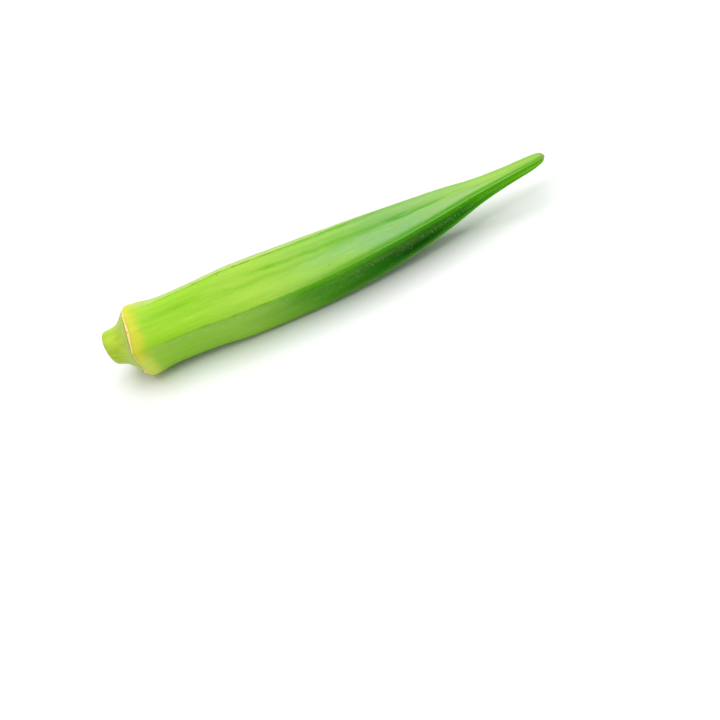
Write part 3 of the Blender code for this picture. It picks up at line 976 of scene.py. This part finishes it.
def on_faces(s, angle):
    area = np.clip(ridge_radius(s) / 10.4, 0.0, 1.0)
    green = smoothstep(4.0, 12.0, s)
    cap = 0.12 * (1.0 - smoothstep(-1.5, -0.6, s))
    shady = 1.0 - 0.7 * painted_shade_round(np.degrees(angle) % 360.0) * smoothstep(30.0, 55.0, s)
    return area * (green * 0.8 * shady + cap)


def in_bands(s, angle):
    turned, face, place = face_and_place(angle)
    after = place * ridge_radius(s) * math.pi / 180.0
    band = bump(after - 0.6 - 2.2 * smoothstep(34.0, 50.0, s), 1.4) * np.array((0.0, 1.0, 0.8, 0.6, 0.5))[face]
    rest = 0.22 * (face > 0) * smoothstep(0.8, 1.6, after) * smoothstep(36.0, 50.0, s)
    return np.maximum(band, rest) * smoothstep(3.0, 8.0, s) * np.clip(ridge_radius(s) / 8.0, 0.12, 1.0)


s, angle, draw = hair_roots(24000, 11, by_ridge)
ridge_hairs = hair_piece("ridge_hairs", s, angle, draw, 0.55, 0.018, 0.75, 0.50, 0.30, 0.30)
s, angle, draw = hair_roots(11000, 12, on_faces)
face_hairs = hair_piece("face_hairs", s, angle, draw, 0.42, 0.016, 0.50, 0.60, 0.25, 0.35)
s, angle, draw = hair_roots(14000, 13, in_bands)
band_hairs = hair_piece("band_hairs", s, angle, draw, 1.0, 0.020, 0.30, 0.95, 0.10, 0.12)
for piece in (ridge_hairs, face_hairs, band_hairs):
    piece.data.materials.append(hairs)
    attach(piece, "root")


# ------------------------------------------------------------------ studio
def studio():
    floor = made_object("floor", [(-4, -4, 0), (4, -4, 0), (4, 4, 0), (-4, 4, 0)], [(0, 1, 2, 3)], smooth=False)
    g = Graph("studio_floor")
    cloudy = g.noise(g.node("ShaderNodeNewGeometry").outputs["Position"], 1.5, 2.0)
    g.feed(g.shader.inputs["Base Color"], g.mix(cloudy, (0.86, 0.86, 0.86, 1.0), (0.89, 0.89, 0.89, 1.0)))
    g.shader.inputs["Roughness"].default_value = 0.7
    g.shader.inputs["Specular IOR Level"].default_value = 0.1
    floor.data.materials.append(g.material)

    world = bpy.data.worlds.new("studio")
    bpy.context.scene.world = world
    world.use_nodes = True
    world.node_tree.nodes["Background"].inputs["Color"].default_value = (1.0, 1.0, 1.0, 1.0)
    world.node_tree.nodes["Background"].inputs["Strength"].default_value = 0.50


def softbox(name, towards, distance, width, height, watts, colour=(1.0, 1.0, 1.0)):
    lamp = bpy.data.lights.new(name, "AREA")
    lamp.shape = "RECTANGLE"
    lamp.size, lamp.size_y = width, height
    lamp.energy = watts
    lamp.color = colour
    made = bpy.data.objects.new(name, lamp)
    bpy.context.scene.collection.objects.link(made)
    direction = Vector(towards).normalized()
    made.location = Vector((0.0, 0.0, 0.01)) + direction * distance
    made.rotation_mode = "QUATERNION"
    made.rotation_quaternion = direction.to_track_quat("Z", "Y")
    return made


# ------------------------------------------------------------------ camera
# The view of the pod in its own axes: how far its axis runs uphill across the picture, how far it
# turns away, how far the eye looks down on it, and where the ring stands in the picture.
PICTURE = 720.0
FOCAL = 2000.0               # in picture widths of 1/720
PER_MM = 3.856               # at the ring
UPHILL, AWAY, ROUND = 21.6, -8.0, 55.0
RING_X, RING_Y = 136.2, 340.64


def camera_frame():
    uphill, away, over = (math.radians(a) for a in (UPHILL, AWAY, ROUND))
    right, up, back = Vector((1, 0, 0)), Vector((0, 1, 0)), Vector((0, 0, 1))
    axis_flat = right * math.cos(uphill) + up * math.sin(uphill)
    pod_x = axis_flat * math.cos(away) - back * math.sin(away)
    to_eye = axis_flat * math.sin(away) + back * math.cos(away)
    above = -right * math.sin(uphill) + up * math.cos(uphill)
    pod_z = to_eye * math.cos(over) + above * math.sin(over)
    pod_y = -(to_eye * math.sin(over) - above * math.cos(over))
    to_camera = Matrix((pod_x, pod_y, pod_z)).transposed()
    distance = FOCAL / PER_MM
    ring = Vector(((RING_X - PICTURE / 2) / PER_MM, -(RING_Y - PICTURE / 2) / PER_MM, -distance))
    turn = LIE @ to_camera.transposed()
    place = LIE @ (-(to_camera.transposed() @ ring)) * MM + SET_DOWN
    return turn, place


def make_camera():
    turn, place = camera_frame()
    data = bpy.data.cameras.new("camera")
    data.sensor_width = 36.0
    data.lens = FOCAL / PICTURE * 36.0
    data.clip_start, data.clip_end = 0.01, 20.0
    made = bpy.data.objects.new("camera", data)
    bpy.context.scene.collection.objects.link(made)
    made.matrix_world = Matrix.Translation(place) @ turn.to_4x4()
    bpy.context.scene.camera = made
    return turn


studio()
look = make_camera()
softbox("key", look @ Vector((-0.42, 0.76, 0.56)), 0.9, 1.1, 1.1, 9.0)
softbox("fill", look @ Vector((-0.42, 0.30, 0.86)), 1.2, 0.8, 0.6, 1.35)
bpy.context.scene.view_settings.view_transform = "Standard"
